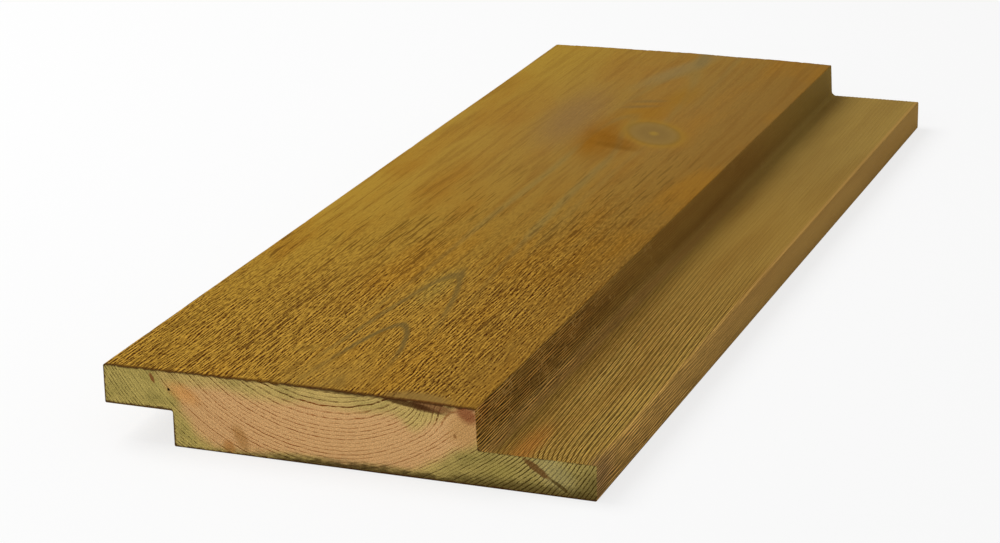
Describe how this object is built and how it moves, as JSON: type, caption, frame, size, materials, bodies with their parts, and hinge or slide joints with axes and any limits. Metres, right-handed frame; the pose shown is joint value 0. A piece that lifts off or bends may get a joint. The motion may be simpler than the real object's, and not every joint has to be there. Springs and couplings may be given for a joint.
{
  "type": "channel siding board",
  "caption": "Treated pine cladding board with a rough-sawn face, a lap lip along one edge and a thin tongue below a square shoulder along the other, so that boards overlap.",
  "frame": {"origin": "under the middle of the board's width and length, on the surface the board lies on", "axes": "+Y along the board's length, +X from the lip edge to the tongue edge, +Z out of the sawn face"},
  "size_m": [0.145, 0.375, 0.0226],
  "materials": {
    "treated_pine": "yellow-brown pressure-treated pine, rough-sawn face, matte"
  },
  "bodies": {
    "root": {"siding_board": "treated_pine"}
  },
  "joints": []
}
